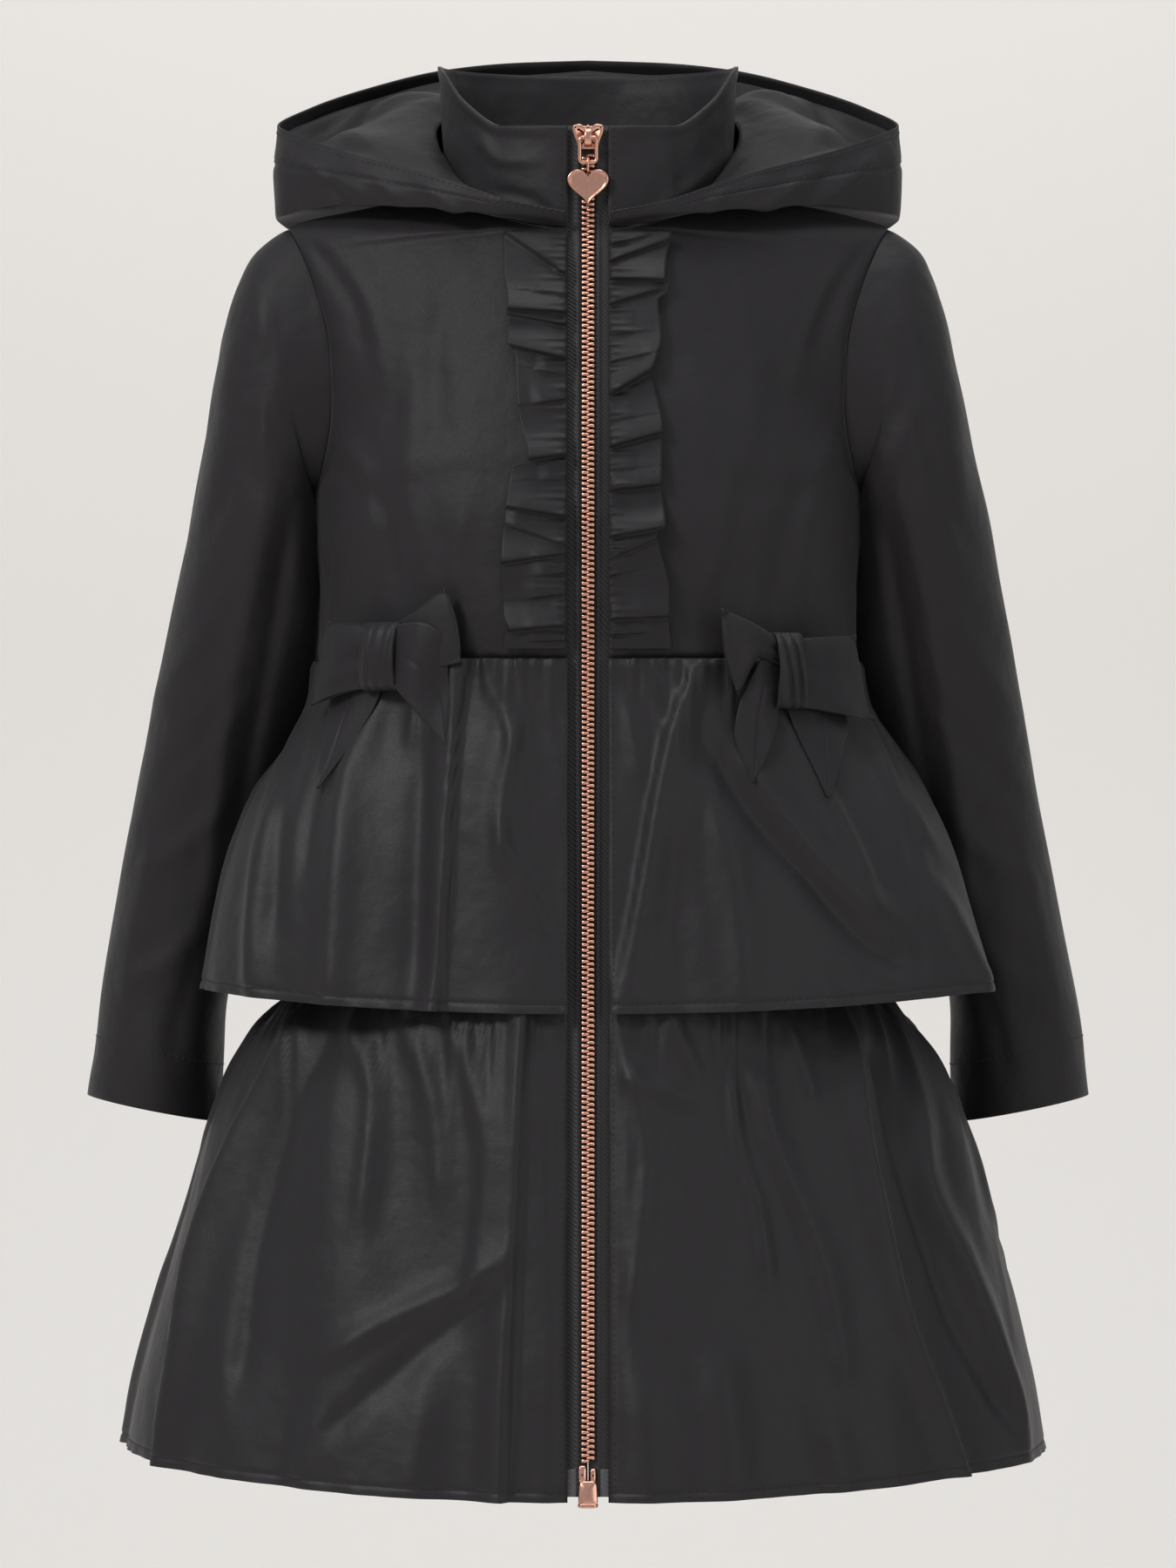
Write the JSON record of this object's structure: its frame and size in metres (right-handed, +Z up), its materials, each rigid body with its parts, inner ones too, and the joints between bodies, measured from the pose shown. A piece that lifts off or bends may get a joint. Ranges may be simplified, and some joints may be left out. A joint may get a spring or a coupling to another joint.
{
  "type": "raincoat",
  "caption": "Child's black hooded raincoat with a rose gold zip and heart pull, ruffles beside the zip, a gathered short tier over a flared skirt, and a bow on each side of the waist.",
  "frame": {"origin": "base of the neck, midway between the shoulders, where the wearer carries the coat", "axes": "+Z up, -Y out of the coat's front, +X towards the right as seen from the front"},
  "size_m": [0.445, 0.2967, 0.6265],
  "materials": {
    "shell_cloth": "soft satin",
    "inside_cloth": "matt",
    "tape": "woven, matt",
    "rose_gold_metal": "polished rose gold plating"
  },
  "bodies": {
    "coat": {"back": "shell_cloth", "bow_left_knot": "shell_cloth", "bow_left_loop_inner": "shell_cloth", "bow_left_loop_outer": "shell_cloth", "bow_left_tail_inner": "shell_cloth", "bow_left_tail_outer": "shell_cloth", "bow_right_knot": "shell_cloth", "bow_right_loop_inner": "shell_cloth", "bow_right_loop_outer": "shell_cloth", "bow_right_tail_inner": "shell_cloth", "bow_right_tail_outer": "shell_cloth", "collar": "shell_cloth", "front_left": "shell_cloth", "front_right": "shell_cloth", "hip_yoke": "shell_cloth", "hood_lining": "inside_cloth", "hood_shell": "shell_cloth", "peplum_back": "shell_cloth", "peplum_left": "shell_cloth", "peplum_right": "shell_cloth", "ruffle_left": "shell_cloth", "ruffle_right": "shell_cloth", "skirt_back": "shell_cloth", "skirt_left": "shell_cloth", "skirt_right": "shell_cloth", "sleeve_left": "shell_cloth", "sleeve_right": "shell_cloth", "zip_box": "rose_gold_metal", "zip_bridge": "rose_gold_metal", "zip_chain": "rose_gold_metal", "zip_chain_neck": "rose_gold_metal", "zip_slider": "rose_gold_metal", "zip_tape_left": "tape", "zip_tape_right": "tape"},
    "link": {"pull_link": "rose_gold_metal"},
    "heart": {"pull_ring": "rose_gold_metal", "pull_heart": "rose_gold_metal"}
  },
  "joints": [
    {"name": "link_swing", "type": "hinge", "parent": "coat", "child": "link", "pos_m": [0, -0.0554, 0.0355], "axis": [-1, 0, 0], "range_deg": [0, 140]},
    {"name": "heart_swing", "type": "hinge", "parent": "link", "child": "heart", "pos_m": [0, -0.0554, 0.0249], "axis": [-1, 0, 0], "range_deg": [0, 75]}
  ]
}
